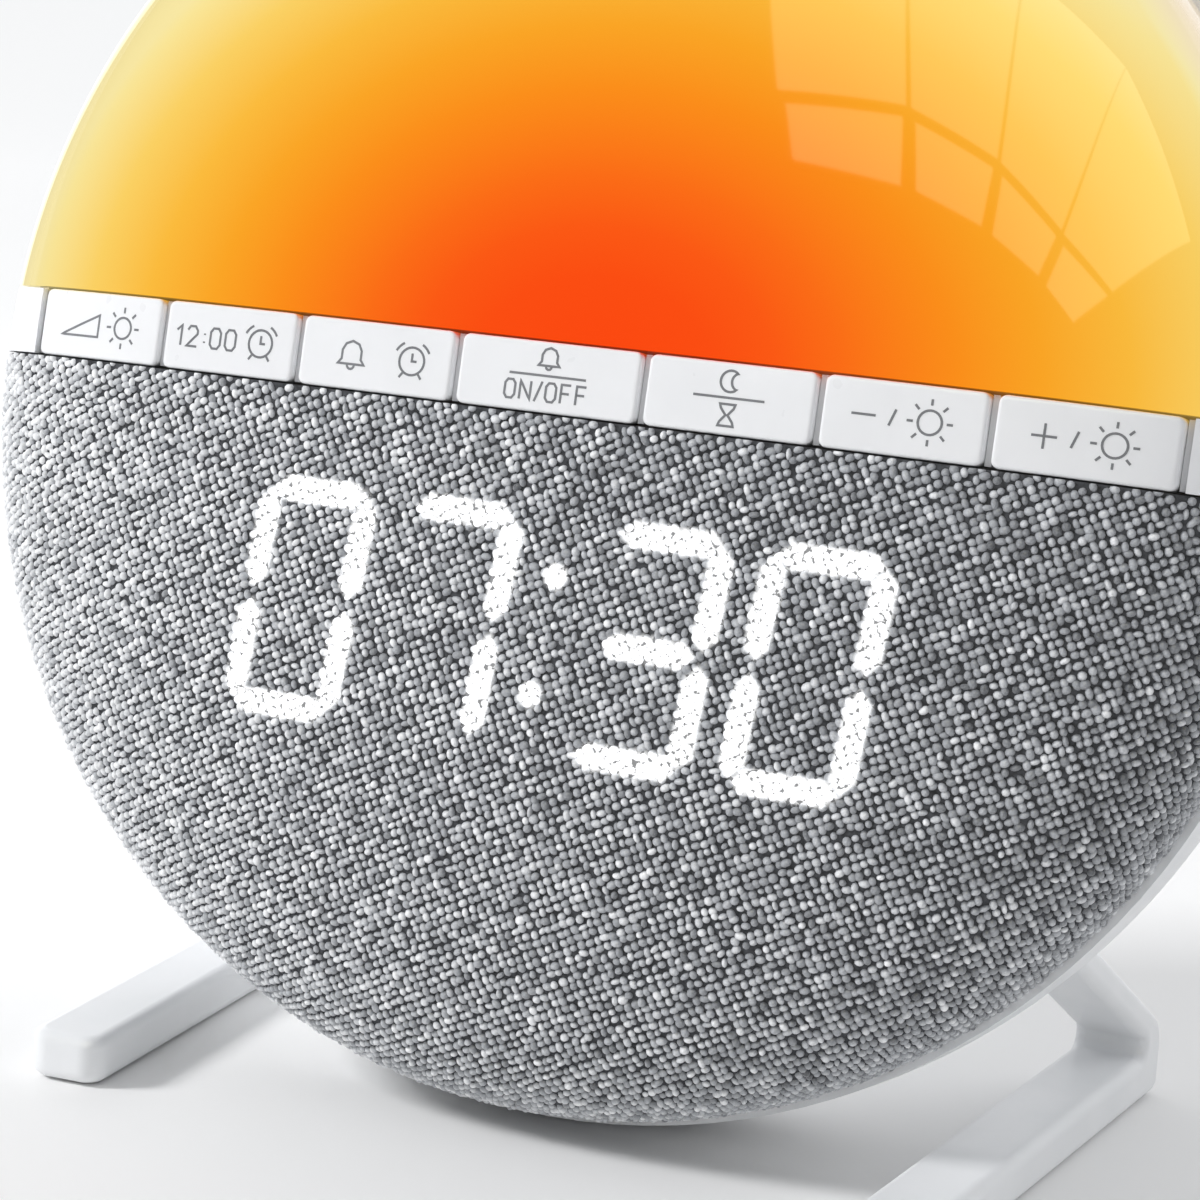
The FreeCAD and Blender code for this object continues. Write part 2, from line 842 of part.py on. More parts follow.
def make_foot(side, housing_solid):
    profile, heel_z = foot_profile()
    foot = profile.extrude(FreeCAD.Vector(foot_width, 0, 0))
    foot.translate(FreeCAD.Vector(-foot_width / 2, 0, 0))
    foot = foot.makeFillet(foot_heel_radius, edges_across(foot, foot_rear_y, heel_z))
    foot = foot.makeFillet(foot_sole_radius, edges_across(foot, foot_rear_y, 0))
    foot = foot.makeFillet(foot_notch_radius, edges_across(foot, foot_notch_y, foot_thickness))
    upright = []
    for edge in foot.Edges:
        ends = [vertex.Point for vertex in edge.Vertexes]
        at_front = all(abs(p.y - foot_front_y) < same_place for p in ends)
        if at_front and abs(ends[0].x - ends[-1].x) < same_place:
            upright.append(edge)
    foot = foot.makeFillet(foot_tip_radius, upright)
    long_edges = []
    for edge in foot.Edges:
        reach = edge.BoundBox
        flat_sided = reach.XLength < same_place
        on_side = flat_sided and abs(abs(reach.XMin) - foot_width / 2) < same_place
        on_tip = reach.ZLength < same_place and reach.YMin < foot_front_y + foot_tip_radius + same_place
        if (on_side and reach.ZLength + reach.YLength > same_place) or on_tip:
            long_edges.append(edge)
    foot = foot.makeFillet(foot_edge_radius, long_edges)
    foot = splayed(foot, side).cut(housing_solid)
    point, direction = leg_screw_point(side)
    hole = Part.makeCylinder(
        foot_screw_radius + screw_clearance, foot_screw_grip + leg_thickness,
        point - direction * foot_screw_grip, direction,
    )
    foot = foot.cut(hole)
    for pad in foot_pad_solids(side, pad_clearance):
        foot = foot.cut(pad)
    solids = sorted(foot.Solids, key=lambda solid: solid.Volume)
    return solids[-1]


def foot_pad_solids(side, margin):
    pads = []
    half = foot_width / 2 - pad_inset + margin
    front = foot_front_y + pad_end_offset
    rear = foot_rear_y - pad_end_offset - pad_length
    lift = pad_thickness - pad_recess
    for y0 in (front, rear):
        pad = box(-half, half, y0 - margin, y0 + pad_length + margin, -lift, pad_recess)
        upright = [edge for edge in pad.Edges if abs(edge.BoundBox.ZLength - pad_thickness) < same_place]
        pads.append(splayed(pad.makeFillet(pad_corner_radius, upright), side))
    return pads


def make_foot_screws():
    screws = []
    for side in (-1, 1):
        point, direction = leg_screw_point(side)
        seat = point + direction * (housing_wall + boss_height)
        start = point - direction * (foot_screw_grip - screw_end_gap)
        length = foot_screw_grip - screw_end_gap + housing_wall + boss_height
        shaft = Part.makeCylinder(foot_screw_radius, length, start, direction)
        head = Part.makeCylinder(foot_screw_head_radius, foot_screw_head_height, seat, direction)
        screws.append(fuse([shaft, head]))
    return Part.makeCompound(screws)


# The whole clock, each piece by name

def make_clock():
    pieces = {}
    for name, solid in make_keys().items():
        pieces[name] = solid
    pieces["left_end_cap"] = make_end_cap(-1)
    pieces["right_end_cap"] = make_end_cap(1)
    pieces["key_carrier"] = make_carrier()
    pieces["key_board"] = make_key_board()
    pieces["tact_switches"] = make_tact_switches()
    segments = make_segments()
    dots = make_colon_dots()
    pieces["digit_segments"] = Part.makeCompound(segments)
    pieces["colon_dots"] = Part.makeCompound(dots)
    pieces["display_housing"] = make_display_housing(segments + dots)
    pieces["display_board"] = make_display_board()
    pieces["fabric_cover"] = make_fabric()
    pieces["grille_frame"] = make_grille()
    basket, cone, magnet, gasket = make_speaker()
    pieces["speaker_basket"] = basket
    pieces["speaker_cone"] = cone
    pieces["speaker_magnet"] = magnet
    pieces["speaker_gasket"] = gasket
    pieces["sunrise_lens"] = face_shell(0, lens_wall).common(slab(upper_edge, far))
    reflector, led_board, leds, diffuser = make_light()
    pieces["light_reflector"] = reflector
    pieces["led_board"] = led_board
    pieces["sunrise_leds"] = leds
    pieces["light_diffuser"] = diffuser
    pieces["rear_housing"] = make_housing()
    pieces["housing_screws"] = make_housing_screws()
    pieces["main_board"] = make_main_board()
    pieces["board_parts"] = make_board_parts()
    pieces["board_screws"] = make_board_screws()
    inlet, pin = make_inlet()
    pieces["power_inlet"] = inlet
    pieces["inlet_pin"] = pin
    cell, cover = make_cell()
    pieces["backup_cell"] = cell
    pieces["cell_cover"] = cover
    for name in list(pieces):
        pieces[name] = place(pieces[name])
    solid = place(housing_body(0))
    pieces["left_foot"] = make_foot(-1, solid)
    pieces["right_foot"] = make_foot(1, solid)
    pieces["foot_pads"] = Part.makeCompound(foot_pad_solids(-1, 0) + foot_pad_solids(1, 0))
    pieces["foot_screws"] = make_foot_screws()
    return pieces


def centred(pieces):
    # The origin is the middle of the whole clock's footprint, at the height of the pads' soles
    bounds = Part.makeCompound(list(pieces.values())).optimalBoundingBox(False)
    shift = FreeCAD.Vector(0, -(bounds.YMin + bounds.YMax) / 2, -bounds.ZMin)
    moved = {}
    for name, shape in pieces.items():
        moved[name] = shape.copy()
        moved[name].translate(shift)
    return moved, shift


clock, origin_shift = centred(make_clock())
print("origin shift", origin_shift)
os.makedirs("parts", exist_ok=True)
for name, shape in clock.items():
    print(name, len(shape.Solids), round(shape.Volume, 1), shape.isValid())
    shape.exportStep("parts/" + name + ".step")
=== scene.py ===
import bmesh
import bpy
import json
import math
import numpy as np
from mathutils import Matrix, Vector


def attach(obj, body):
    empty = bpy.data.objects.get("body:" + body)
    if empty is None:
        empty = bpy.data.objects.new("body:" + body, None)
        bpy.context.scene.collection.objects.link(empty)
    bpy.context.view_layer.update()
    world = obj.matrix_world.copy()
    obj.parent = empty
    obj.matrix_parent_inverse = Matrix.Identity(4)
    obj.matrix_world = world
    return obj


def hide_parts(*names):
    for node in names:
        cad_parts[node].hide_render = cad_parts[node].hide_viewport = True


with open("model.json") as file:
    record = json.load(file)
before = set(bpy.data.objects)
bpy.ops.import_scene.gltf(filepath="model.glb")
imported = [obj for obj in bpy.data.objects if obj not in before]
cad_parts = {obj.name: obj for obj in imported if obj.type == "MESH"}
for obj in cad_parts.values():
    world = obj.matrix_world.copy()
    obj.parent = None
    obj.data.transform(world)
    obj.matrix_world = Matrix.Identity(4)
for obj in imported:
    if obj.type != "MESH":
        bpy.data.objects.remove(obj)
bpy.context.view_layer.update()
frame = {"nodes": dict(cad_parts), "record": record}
MM = 0.001

# Shape of the clock's face, in millimetres, upright with the face towards -Y
FACE_RADIUS = 90.0
FACE_DEPTH = 25.8
FACE_FLATNESS = 3.2
FACE_SHOULDER = 3.1
LENS_WALL = 2.0
STRIP_BOTTOM = -0.6
STRIP_TOP = 8.2
STRIP_SEAM = 0.25
CLOTH_INSET = 0.3
CLOTH_THICKNESS = 1.0

# The upright clock leans back and is lifted onto its feet
LEAN = math.radians(10.0)
LIFT = 91.0 * math.cos(LEAN) + 0.9
SET_BACK = -3.526

# Keys, left to right
KEY_WIDTHS = [22.2, 21.0, 22.7, 25.4, 22.7, 21.0, 22.2]
KEY_NAMES = ["dimmer", "time_set", "alarm_set", "alarm_switch", "sleep_timer", "minus", "plus"]
KEY_GAP = 1.0
KEY_THICKNESS = 2.6
KEY_ROUND = 0.45
KEY_CORNER = 1.0
STEM_WIDTH = 5.0
STEM_HEIGHT = 4.0
STEM_END_Y = -10.5
STEM_BEVEL = 0.4

# Digits that shine through the cloth
DIGITS_X = 3.8
DIGITS_TOP = -12.3
DIGIT_HEIGHT = 31.0
DIGIT_WIDTH = 17.2
DIGIT_PITCH = 20.5
DIGIT_INNER = 14.0
DIGIT_SLANT = math.tan(math.radians(5.5))
DIGIT_STROKE = 3.3
CORNER_GAP = 0.1
MIDDLE_GAP = 0.75
COLON_RADIUS = 1.6
COLON_SHARES = (0.26, 0.74)
TIME_SHOWN = "0730"
SEGMENTS_LIT = {"0": "abcdef", "7": "abc", "3": "abcdg"}

# Glow of the lens by distance from its hot spot, in millimetres. The last step of the
# ramp, from GLOW_REACH to 1, is only for the rim, where it is a painted reflection: the
# pale rim that the glossy dome shows at a grazing angle.
GLOW_CENTRE = (6.0, 4.0)
GLOW_RISE = 1.27
GLOW_SPAN = 100
GLOW_REACH = 0.88
PAINTED_RIM_REFLECTION_START = 85.5
PAINTED_RIM_REFLECTION_WIDTH = 4
GLOW_STRENGTH = 0.93
GLOW_STOPS = [
    (0.0, (255, 68, 2)), (0.16, (254, 76, 4)), (0.24, (254, 88, 8)), (0.32, (254, 108, 12)),
    (0.46, (254, 143, 18)), (0.56, (253, 166, 32)), (0.66, (253, 188, 58)),
    # The 0.9 and 1.0 stops, past GLOW_REACH, are the painted reflection at the rim
    (0.76, (253, 210, 98)), (0.86, (253, 232, 152)), (0.9, (252, 238, 176)),
    (1.0, (250, 233, 206)),
]

# Cloth: a ground sheet and the knots of its coarse plain weave
WEAVE_PITCH = 1.12
WEAVE_TURN = math.radians(28)
WEAVE_REACH = 125
WEAVE_SINK = 0.1
WEAVE_SEED = 7
KNOT_LENGTH = 0.65
KNOT_WIDTH = 0.53
KNOT_HEIGHT = 0.58
KNOT_SCATTER = 0.1
KNOT_SIDES = 10
KNOT_ROOT = 0.12
CLOTH_EDGE_MARGIN = 0.2

# Tone of the cloth: random from knot to knot, with painted light that makes it paler
# and flatter towards the clock's left, and painted shade that darkens it towards the right
TONE_MIDDLE = 0.64
PAINTED_SHADE_FALL = 0.0022
TONE_SPREAD = 0.15
TONE_SPREAD_LOSS = 0.05
PAINTED_LIGHT_START = -25
PAINTED_LIGHT_WIDTH = 65

# Low ribs of the key carrier between the keys
RIB_MARGIN = 0.15
RIB_PLAY = 0.08
RIB_DEPTH = 1.1
RIB_FOOT = 3.6

# Printed signs on the keys
SIGN_LINE = 0.3
SIGN_LIFT = 0.035

# Looks of the frame's own pieces: slot, dark tone, light tone, roughness and metallic
LOOKS = [
    ("frame_dark", (0.02, 0.02, 0.022), (0.03, 0.03, 0.033), 0.5, 0.0),
    ("carrier_grey", (0.3, 0.3, 0.31), (0.36, 0.36, 0.37), 0.5, 0.0),
    ("plunger_black", (0.01, 0.01, 0.01), (0.02, 0.02, 0.02), 0.4, 0.0),
    ("switch_metal", (0.5, 0.5, 0.5), (0.6, 0.6, 0.6), 0.3, 1.0),
    ("display_light", (0.8, 0.8, 0.8), (0.9, 0.9, 0.9), 0.3, 0.0),
    ("board_green", (0.01, 0.09, 0.03), (0.015, 0.12, 0.04), 0.35, 0.0),
    ("board_white", (0.6, 0.6, 0.58), (0.7, 0.7, 0.68), 0.35, 0.0),
    ("led_yellow", (0.8, 0.6, 0.1), (0.9, 0.7, 0.15), 0.3, 0.0),
    ("diffuser_white", (0.75, 0.73, 0.68), (0.8, 0.78, 0.73), 0.5, 0.0),
    ("reflector_white", (0.75, 0.75, 0.74), (0.8, 0.8, 0.79), 0.3, 0.0),
    ("cone_black", (0.01, 0.01, 0.01), (0.03, 0.03, 0.03), 0.8, 0.0),
    ("magnet_grey", (0.03, 0.03, 0.03), (0.05, 0.05, 0.05), 0.6, 0.0),
    ("rubber_dark", (0.01, 0.01, 0.01), (0.02, 0.02, 0.02), 0.9, 0.0),
    ("rubber_grey", (0.2, 0.2, 0.2), (0.25, 0.25, 0.25), 0.85, 0.0),
    ("screw_steel", (0.4, 0.4, 0.41), (0.5, 0.5, 0.51), 0.3, 1.0),
    ("part_black", (0.012, 0.012, 0.013), (0.02, 0.02, 0.022), 0.45, 0.0),
    ("cell_steel", (0.5, 0.5, 0.5), (0.6, 0.6, 0.6), 0.25, 1.0),
]

# Floor and backdrop, in metres, plain for the camera from START outwards
FLOOR_REACH = 30.0
BACKDROP_PLACE = 2.2
BACKDROP_TOP = 2.4
BACKDROP_BEND = 0.7
BEND_STEPS = 12
PLAIN_FLOOR_START = 0.4
PLAIN_FLOOR_FULL = 1.0
PLAIN_FLOOR_COLOUR = (244, 245, 246)

# World strength for lighting, for glossy rays and for the camera
WORLD_LIGHT = 0.5
WORLD_SHEEN = 0.12
WORLD_SEEN = 0.93

# Lamps: name, place, what it aims at, size, watts and whether glossy pieces reflect it
LIGHTS = [
    ("key_light", (-1.15, -0.75, 0.95), (0, 0, 0.08), (0.36, 0.36), 18.0, False),
    ("rim_light", (-0.9, 0.7, 0.5), (0, 0, 0.12), (0.5, 1.0), 2.0, True),
    ("backdrop_light", (-0.2, 1.2, 1.1), (-0.2, 2.0, 0), (2.4, 1.2), 9.0, False),
    ("side_light", (0.75, 0.75, 0.6), (0.06, 0, 0), (0.7, 0.7), 3.0, False),
]

# Window whose panes the dome reflects. Rows of corners, at WINDOW_DISTANCE times
# (sideways, height) from WINDOW_FROM, in metres.
WINDOW_DISTANCE = 1.3
WINDOW_FROM = (0.05, -0.02, 0.13)
WINDOW_GAP = 0.013
WINDOW_STRENGTH = 2.7
WINDOW_ROWS = [
    [(-0.335, 0.40), (-0.178, 0.42), (-0.051, 0.413), (0.063, 0.387), (0.144, 0.35)],
    [(-0.345, 0.48), (-0.168, 0.533), (-0.012, 0.524), (0.125, 0.475), (0.279, 0.437)],
    [(-0.42, 1.25), (-0.09, 1.35), (0.30, 1.45), (0.88, 1.56), (1.0, 0.87)],
]

# Camera, fitted to the photograph
CAMERA_PLACE = (0.168403, -0.397989, 0.147187)
CAMERA_AZIMUTH = 23.324
CAMERA_ELEVATION = 10.582
CAMERA_ROLL = 3.754
CAMERA_LENS = 99.3


def face_depth_at(r, inset=0.0):
    share = np.clip(np.asarray(r) / (FACE_RADIUS - inset), 0.0, 1.0)
    return (FACE_DEPTH - inset) * (1 - share ** FACE_FLATNESS) ** (1 / FACE_SHOULDER)


def to_frame(points):
    # Upright millimetres to the frame's metres
    p = np.asarray(points, float)
    cos, sin = math.cos(LEAN), math.sin(LEAN)
    y = p[..., 1] * cos + p[..., 2] * sin + SET_BACK
    z = -p[..., 1] * sin + p[..., 2] * cos + LIFT
    return np.stack([p[..., 0], y, z], -1) * MM


def face_points(x, z, inset=0.0, lift=0.0):
    # Points on the dome over (x, z), raised by lift along the dome's normal
    x, z = np.asarray(x, float), np.asarray(z, float)
    base = np.stack([x, -face_depth_at(np.hypot(x, z), inset), z], -1)
    return base + face_normals(x, z, inset) * lift


def face_normals(x, z, inset=0.0):
    r = np.hypot(x, z)
    step = 0.01
    outer, inner = face_depth_at(r + step, inset), face_depth_at(np.maximum(r - step, 0), inset)
    slope = (outer - inner) / (2 * step)
    slope = np.clip(slope, -60, 0)
    safe = np.maximum(r, 1e-6)
    n = np.stack([-slope * x / safe, -np.ones_like(r), -slope * z / safe], -1)
    return n / np.linalg.norm(n, axis=-1, keepdims=True)


def new_mesh(name, vertices, faces, smooth=True):
    mesh = bpy.data.meshes.new(name)
    mesh.from_pydata([tuple(v) for v in vertices], [], [tuple(f) for f in faces])
    mesh.validate()
    obj = bpy.data.objects.new(name, mesh)
    bpy.context.scene.collection.objects.link(obj)
    if smooth:
        mesh.polygons.foreach_set("use_smooth", [True] * len(mesh.polygons))
    mesh.update()
    return obj


def grid_faces(rows, columns, offset=0, flip=False):
    faces = []
    for i in range(rows - 1):
        for j in range(columns - 1):
            a = offset + i * columns + j
            quad = (a, a + 1, a + columns + 1, a + columns)
            faces.append(quad[::-1] if flip else quad)
    return faces


def shell_piece(name, inset, wall, cut, above, rows, columns):
    # Part of the dome above or below the line z = cut, as a closed shell
    side = 1 if above else -1
    start = abs(cut)

    def layer(radius_inset):
        radius = FACE_RADIUS - radius_inset
        low = (start / radius) ** (FACE_FLATNESS / 2)
        turn = np.linspace(math.asin(low), math.pi / 2, rows)
        r = radius * np.sin(turn) ** (2 / FACE_FLATNESS)
        depth = (FACE_DEPTH - radius_inset) * np.cos(turn) ** (2 / FACE_SHOULDER)
        depth[-1] = 0
        first = np.arcsin(np.clip(start / r, -1, 1))
        share = np.linspace(0, 1, columns)
        angle = first[:, None] + (math.pi - 2 * first[:, None]) * share[None]
        return np.stack([
            r[:, None] * np.cos(angle), np.repeat(-depth[:, None], columns, 1),
            side * r[:, None] * np.sin(angle),
        ], -1)

    outer, inner = layer(inset), layer(inset + wall)
    points = np.concatenate([outer.reshape(-1, 3), inner.reshape(-1, 3)])
    count = rows * columns
    faces = grid_faces(rows, columns, 0, above) + grid_faces(rows, columns, count, not above)
    rim = [(rows - 1) * columns + j for j in range(columns)]
    left = [i * columns for i in range(rows)]
    right = [i * columns + columns - 1 for i in range(rows)]
    for chain, turned in ((rim, above), (left, above), (right, not above)):
        for a, b in zip(chain, chain[1:]):
            quad = (a, b, b + count, a + count)
            faces.append(quad if turned else quad[::-1])
    obj = new_mesh(name, to_frame(points), faces)
    close_and_orient(obj)
    return obj


def close_and_orient(obj):
    bm = bmesh.new()
    bm.from_mesh(obj.data)
    bmesh.ops.remove_doubles(bm, verts=bm.verts, dist=1e-6)
    bmesh.ops.dissolve_degenerate(bm, dist=1e-7, edges=bm.edges)
    bmesh.ops.recalc_face_normals(bm, faces=bm.faces)
    bm.to_mesh(obj.data)
    bm.free()


def sharpen(obj, degrees=35):
    # Smooth shading that keeps the piece's real corners
    obj.data.set_sharp_from_angle(angle=math.radians(degrees))


# Materials

class Nodes:
    # A short way to write a material's nodes
    def __init__(self, name):
        self.material = bpy.data.materials.new(name)
        self.material.use_nodes = True
        self.tree = self.material.node_tree
        self.shader = self.tree.nodes["Principled BSDF"]

    def add(self, kind, **settings):
        node = self.tree.nodes.new(kind)
        for key, value in settings.items():
            setattr(node, key, value)
        return node

    def link(self, a, b):
        self.tree.links.new(a, b)

    def coordinates(self):
        return self.add("ShaderNodeTexCoord").outputs["Object"]

    def noise(self, scale, detail=3.0, roughness=0.5):
        node = self.add("ShaderNodeTexNoise")
        node.inputs["Scale"].default_value = scale
        node.inputs["Detail"].default_value = detail
        node.inputs["Roughness"].default_value = roughness
        self.link(self.coordinates(), node.inputs["Vector"])
        return node.outputs["Fac"]

    def ramp(self, value, stops):
        node = self.add("ShaderNodeValToRGB")
        elements = node.color_ramp.elements
        while len(elements) < len(stops):
            elements.new(0.5)
        for element, (place, colour) in zip(elements, stops):
            element.position = place
            element.color = (*colour, 1)
        self.link(value, node.inputs["Fac"])
        return node.outputs["Color"]

    def math(self, operation, a, b=None):
        node = self.add("ShaderNodeMath", operation=operation)
        for socket, value in zip(node.inputs, (a, b)):
            if value is None:
                continue
            if isinstance(value, (int, float)):
                socket.default_value = value
            else:
                self.link(value, socket)
        return node.outputs[0]

    def bump(self, height, strength, distance):
        node = self.add("ShaderNodeBump")
        node.inputs["Strength"].default_value = strength
        node.inputs["Distance"].default_value = distance
        self.link(height, node.inputs["Height"])
        self.link(node.outputs["Normal"], self.shader.inputs["Normal"])


def srgb(r, g, b):
    def straight(v):
        v = v / 255
        return v / 12.92 if v <= 0.04045 else ((v + 0.055) / 1.055) ** 2.4
    return tuple(straight(v) for v in (r, g, b))


def plain_material(name, dark, light, roughness, scale=900.0, bump=0.05, metallic=0.0, coat=0.0):
    # Moulded or plated stock: a faint mottling of colour, roughness and grain
    m = Nodes(name)
    colour = m.ramp(m.noise(60.0, 4.0), [(0.35, dark), (0.65, light)])
    m.link(colour, m.shader.inputs["Base Color"])
    low, high = max(roughness - 0.05, 0.02), min(roughness + 0.05, 1.0)
    rough = m.ramp(m.noise(180.0, 3.0), [(0.3, (low,) * 3), (0.7, (high,) * 3)])
    m.link(rough, m.shader.inputs["Roughness"])
    m.shader.inputs["Metallic"].default_value = metallic
    m.shader.inputs["Coat Weight"].default_value = coat
    m.bump(m.noise(scale * 4, 2.0), bump, 0.00002)
    return m.material


def lens_material():
    # Lit from behind: red at the foot of the dome, through orange to pale yellow, and at
    # the rim a painted reflection in pale peach
    m = Nodes("lens_glow")
    reach = m.add("ShaderNodeAttribute", attribute_name="reach").outputs["Fac"]
    cloud = m.math("MULTIPLY", m.math("SUBTRACT", m.noise(14.0, 2.0), 0.5), 0.03)
    colour = m.ramp(m.math("ADD", reach, cloud), [(d, srgb(*c)) for d, c in GLOW_STOPS])
    m.link(colour, m.shader.inputs["Emission Color"])
    m.shader.inputs["Emission Strength"].default_value = GLOW_STRENGTH
    dark = m.add("ShaderNodeMix", data_type="RGBA", blend_type="MULTIPLY")
    dark.inputs[0].default_value = 1.0
    m.link(colour, dark.inputs[6])
    dark.inputs[7].default_value = (0.08, 0.08, 0.08, 1)
    m.link(dark.outputs[2], m.shader.inputs["Base Color"])
    m.shader.inputs["Roughness"].default_value = 0.5
    m.shader.inputs["Specular IOR Level"].default_value = 0.0
    m.shader.inputs["Coat Weight"].default_value = 1.0
    m.shader.inputs["Coat Roughness"].default_value = 0.03
    return m.material


def make_lens():
    lens = shell_piece("lens_dome", 0.0, LENS_WALL, STRIP_TOP + STRIP_SEAM, True, 90, 220)
    places = from_frame(lens)
    x, z = places[:, 0], places[:, 2]
    reach = np.hypot(x - GLOW_CENTRE[0], (z - GLOW_CENTRE[1]) * GLOW_RISE)
    # Painted reflection: the last step of the glow ramp paints the dome's outer rim pale
    rim = np.clip((np.hypot(x, z) - PAINTED_RIM_REFLECTION_START) / PAINTED_RIM_REFLECTION_WIDTH, 0, 1)
    set_attribute(lens, "reach", np.minimum(reach / GLOW_SPAN, GLOW_REACH) + (1 - GLOW_REACH) * rim)
    sharpen(lens)
    lens.data.materials.append(lens_material())
    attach(lens, "clock")
    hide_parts("sunrise_lens")


def cloth_base_material():
    m = Nodes("cloth_ground")
    # Painted shade: the dark grey ground stands for the shade in the gaps between the knots
    shade = m.ramp(m.noise(1500.0, 3.0), [(0.3, srgb(40, 42, 46)), (0.75, srgb(88, 90, 95))])
    m.link(shade, m.shader.inputs["Base Color"])
    m.shader.inputs["Roughness"].default_value = 0.9
    speck = m.math("GREATER_THAN", m.noise(1900.0, 1.0), 0.44)
    add_glow(m, m.math("ADD", m.math("MULTIPLY", speck, 0.75), 0.25))
    return m.material


def knot_material():
    m = Nodes("cloth_yarn")
    # shade is each knot's random tone with painted shade and painted light across the cloth
    shade = m.add("ShaderNodeAttribute", attribute_name="shade").outputs["Fac"]
    fibre = m.noise(4200.0, 2.0, 0.6)
    mixed = m.math("ADD", shade, m.math("MULTIPLY", m.math("SUBTRACT", fibre, 0.5), 0.35))
    colour = m.ramp(mixed, [
        (0.0, srgb(70, 73, 78)), (0.5, srgb(178, 181, 186)), (0.9, srgb(250, 251, 253)),
    ])
    m.link(colour, m.shader.inputs["Base Color"])
    m.shader.inputs["Roughness"].default_value = 0.42
    m.shader.inputs["Sheen Weight"].default_value = 0.55
    m.shader.inputs["Sheen Roughness"].default_value = 0.5
    m.bump(fibre, 0.4, 0.0001)
    add_glow(m, m.ramp(fibre, [(0.28, (0.45,) * 3), (0.4, (1.0,) * 3)]))
    return m.material


def add_glow(m, share):
    # Light of the digits, with dark specks where the yarn is dense
    glow = m.add("ShaderNodeAttribute", attribute_name="glow").outputs["Fac"]
    m.shader.inputs["Emission Color"].default_value = (1, 1, 1, 1)
    m.link(m.math("MULTIPLY", glow, share), m.shader.inputs["Emission Strength"])


# Digits

def digit_bars(centre, glyph):
    # Each lit bar as its two ends and how far short of them the bar stops
    half = DIGIT_STROKE / 2
    left, right = centre - DIGIT_WIDTH / 2 + half, centre + DIGIT_WIDTH / 2 - half
    top, bottom = DIGITS_TOP - half, DIGITS_TOP - DIGIT_HEIGHT + half
    middle = (top + bottom) / 2
    corner, waist = CORNER_GAP, MIDDLE_GAP
    places = {
        "a": (left, top, right, top, corner, corner),
        "g": (left, middle, right, middle, waist, waist),
        "d": (left, bottom, right, bottom, corner, corner),
        "f": (left, middle, left, top, waist, corner),
        "b": (right, middle, right, top, waist, corner),
        "e": (left, bottom, left, middle, corner, waist),
        "c": (right, bottom, right, middle, corner, waist),
    }
    return [places[key] for key in SEGMENTS_LIT[glyph]]


def lit_bars():
    inner = [DIGITS_X - DIGIT_INNER, DIGITS_X + DIGIT_INNER]
    centres = [inner[0] - DIGIT_PITCH, inner[0], inner[1], inner[1] + DIGIT_PITCH]
    bars = []
    for centre, glyph in zip(centres, TIME_SHOWN):
        bars += digit_bars(centre, glyph)
    return bars


def digit_glow(x, z, soft=0.4):
    # 1 inside a lit bar or colon dot, 0 outside, with a soft edge
    middle = DIGITS_TOP - DIGIT_HEIGHT / 2
    u = x - (z - middle) * DIGIT_SLANT
    glow = np.zeros_like(u)
    half = DIGIT_STROKE / 2
    for x0, z0, x1, z1, gap0, gap1 in lit_bars():
        along = np.array([x1 - x0, z1 - z0])
        length = np.hypot(*along)
        along = along / length
        s = (u - x0) * along[0] + (z - z0) * along[1]
        side = np.abs(-(u - x0) * along[1] + (z - z0) * along[0])
        end = np.maximum(gap0 - s, s - length + gap1)
        edge = np.maximum(side - half, (end + side) * 0.7)
        glow = np.maximum(glow, np.clip(0.5 - edge / soft, 0, 1))
    for share in COLON_SHARES:
        level = DIGITS_TOP - DIGIT_HEIGHT * share
        edge = np.hypot(u - DIGITS_X, z - level) - COLON_RADIUS
        glow = np.maximum(glow, np.clip(0.5 - edge / soft, 0, 1))
    return glow


# Cloth

def arc_table(inset):
    turn = np.linspace(0, math.pi / 2, 600)
    r = (FACE_RADIUS - inset) * np.sin(turn) ** (2 / FACE_FLATNESS)
    depth = (FACE_DEPTH - inset) * np.cos(turn) ** (2 / FACE_SHOULDER)
    length = np.concatenate([[0], np.cumsum(np.hypot(np.diff(r), np.diff(depth)))])
    return length, r, depth


def cloth_points(u, v, inset):
    # A point of the flat cloth, laid over the dome without stretch along each radius
    length, r, depth = arc_table(inset)
    reach = np.hypot(u, v)
    radius = np.interp(reach, length, r)
    w = np.interp(reach, length, depth)
    safe = np.maximum(reach, 1e-9)
    inside = reach < length[-1] - CLOTH_EDGE_MARGIN
    return np.stack([radius * u / safe, -w, radius * v / safe], -1), inside


def knot_template():
    # Half of a flattened bead: rim, shoulder and top
    rings = [(1.0, 0.0), (0.94, 0.4), (0.72, 0.75), (0.38, 0.95)]
    points = []
    for spread, rise in rings:
        for k in range(KNOT_SIDES):
            a = 2 * math.pi * k / KNOT_SIDES
            points.append((spread * math.cos(a), spread * math.sin(a), rise))
    points.append((0, 0, 1.0))
    faces = []
    for ring in range(len(rings) - 1):
        for k in range(KNOT_SIDES):
            a, b = ring * KNOT_SIDES + k, ring * KNOT_SIDES + (k + 1) % KNOT_SIDES
            faces.append((a, b, b + KNOT_SIDES, a + KNOT_SIDES))
    last = (len(rings) - 1) * KNOT_SIDES
    for k in range(KNOT_SIDES):
        faces.append((last + k, last + (k + 1) % KNOT_SIDES, last + KNOT_SIDES))
    return np.array(points), faces


